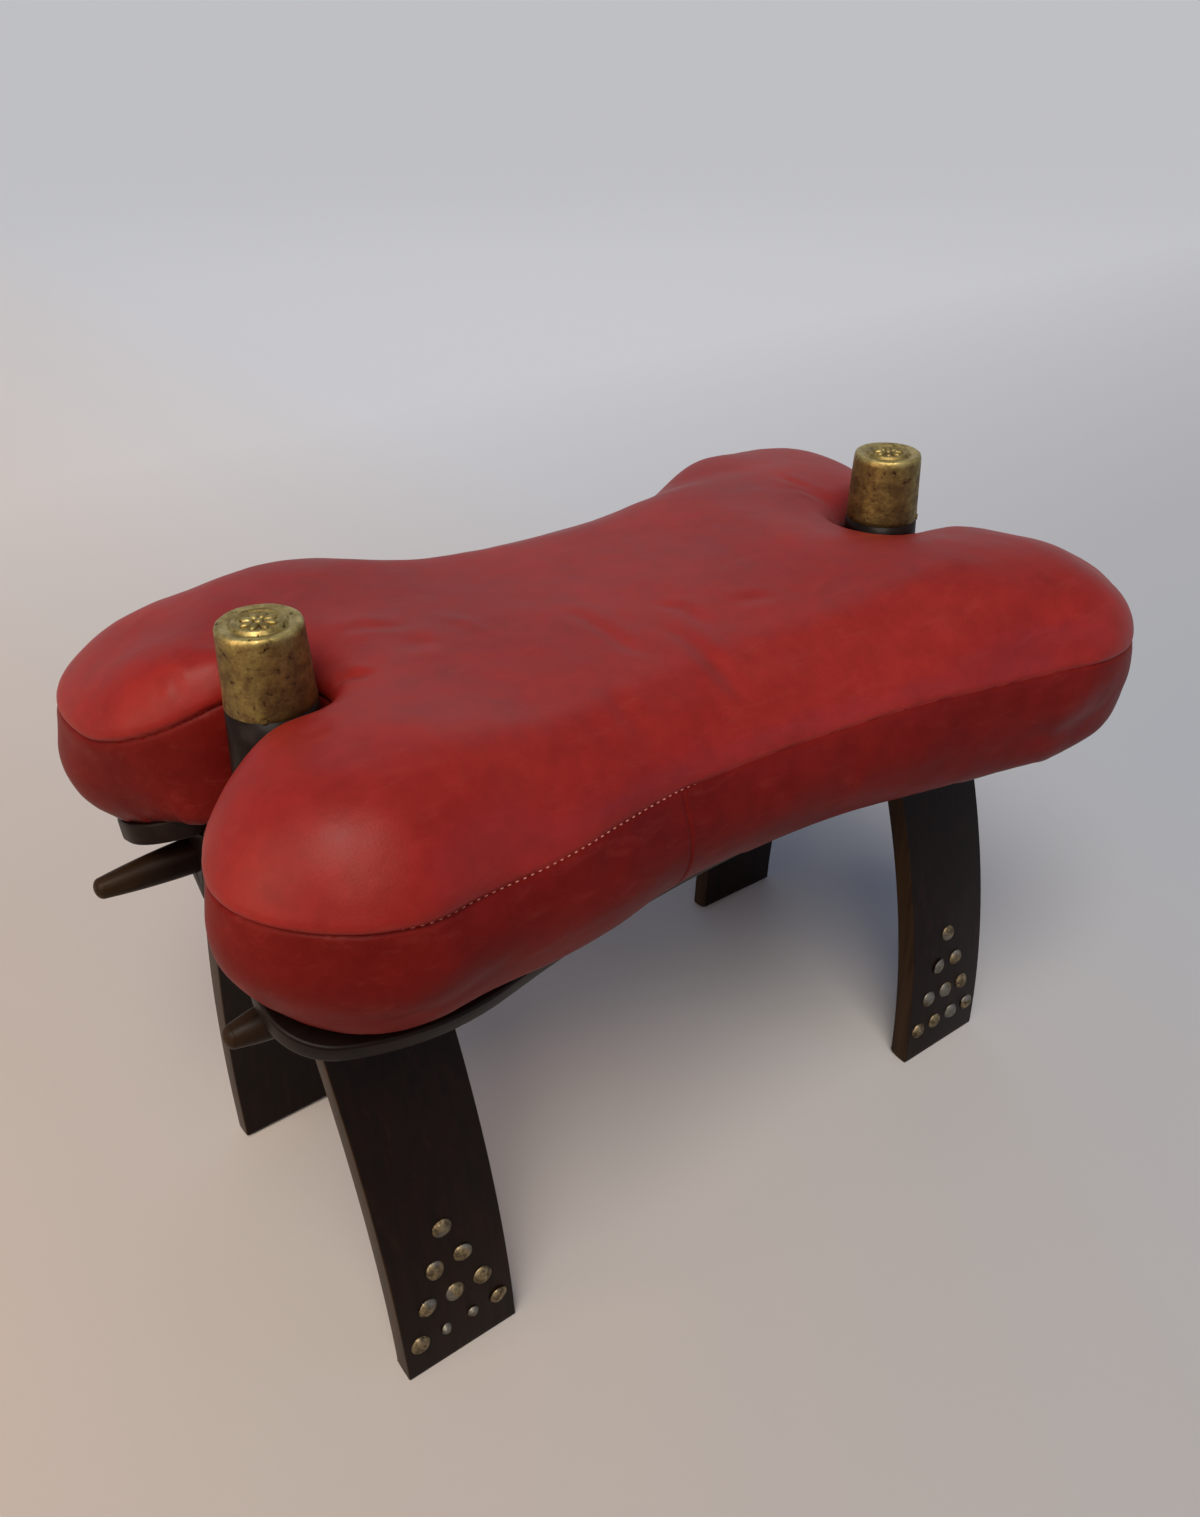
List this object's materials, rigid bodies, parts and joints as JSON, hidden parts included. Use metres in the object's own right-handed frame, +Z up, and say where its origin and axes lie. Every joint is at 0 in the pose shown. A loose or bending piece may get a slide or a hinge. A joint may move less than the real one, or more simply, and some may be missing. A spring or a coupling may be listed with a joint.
{
  "type": "camel saddle stool",
  "caption": "Low saddle stool: a loose waisted leather cushion rests on tilted boards between brass capped posts, over arched plank legs.",
  "frame": {"origin": "on the floor at the middle of the four feet", "axes": "+X runs along the stool from the left post to the right one, +Y across it from the front board to the back one, +Z up"},
  "size_m": [0.6471, 0.3816, 0.448],
  "materials": {
    "stained_wood": "gloss",
    "cap_brass": "satin",
    "tack_brass": "satin",
    "screw_steel": "satin",
    "cushion_stuffing": "matte",
    "top_leather": "satin",
    "band_leather": "satin",
    "base_leather": "matte"
  },
  "bodies": {
    "frame": {"back_board": "stained_wood", "back_board_screws": "screw_steel", "front_board": "stained_wood", "front_board_screws": "screw_steel", "left_back_block_screws": "screw_steel", "left_back_leg": "stained_wood", "left_back_peg": "stained_wood", "left_back_shoulder_block": "stained_wood", "left_back_shoulder_screws": "screw_steel", "left_back_tacks": "tack_brass", "left_cap": "cap_brass", "left_cap_nail": "cap_brass", "left_front_block_screws": "screw_steel", "left_front_leg": "stained_wood", "left_front_peg": "stained_wood", "left_front_shoulder_block": "stained_wood", "left_front_shoulder_screws": "screw_steel", "left_front_tacks": "tack_brass", "left_lag_screw": "screw_steel", "left_post": "stained_wood", "left_post_block": "stained_wood", "left_washer": "screw_steel", "right_back_block_screws": "screw_steel", "right_back_leg": "stained_wood", "right_back_peg": "stained_wood", "right_back_shoulder_block": "stained_wood", "right_back_shoulder_screws": "screw_steel", "right_back_tacks": "tack_brass", "right_cap": "cap_brass", "right_cap_nail": "cap_brass", "right_front_block_screws": "screw_steel", "right_front_leg": "stained_wood", "right_front_peg": "stained_wood", "right_front_shoulder_block": "stained_wood", "right_front_shoulder_screws": "screw_steel", "right_front_tacks": "tack_brass", "right_lag_screw": "screw_steel", "right_post": "stained_wood", "right_post_block": "stained_wood", "right_washer": "screw_steel"},
    "cushion": {"cushion_foam": "cushion_stuffing", "cushion_top_panel": "top_leather", "cushion_side_band": "band_leather", "cushion_bottom_panel": "base_leather"}
  },
  "joints": [
    {"name": "cushion_lift", "type": "slide", "parent": "frame", "child": "cushion", "axis": [0, 0, 1], "range_m": [0, 0.15]}
  ]
}
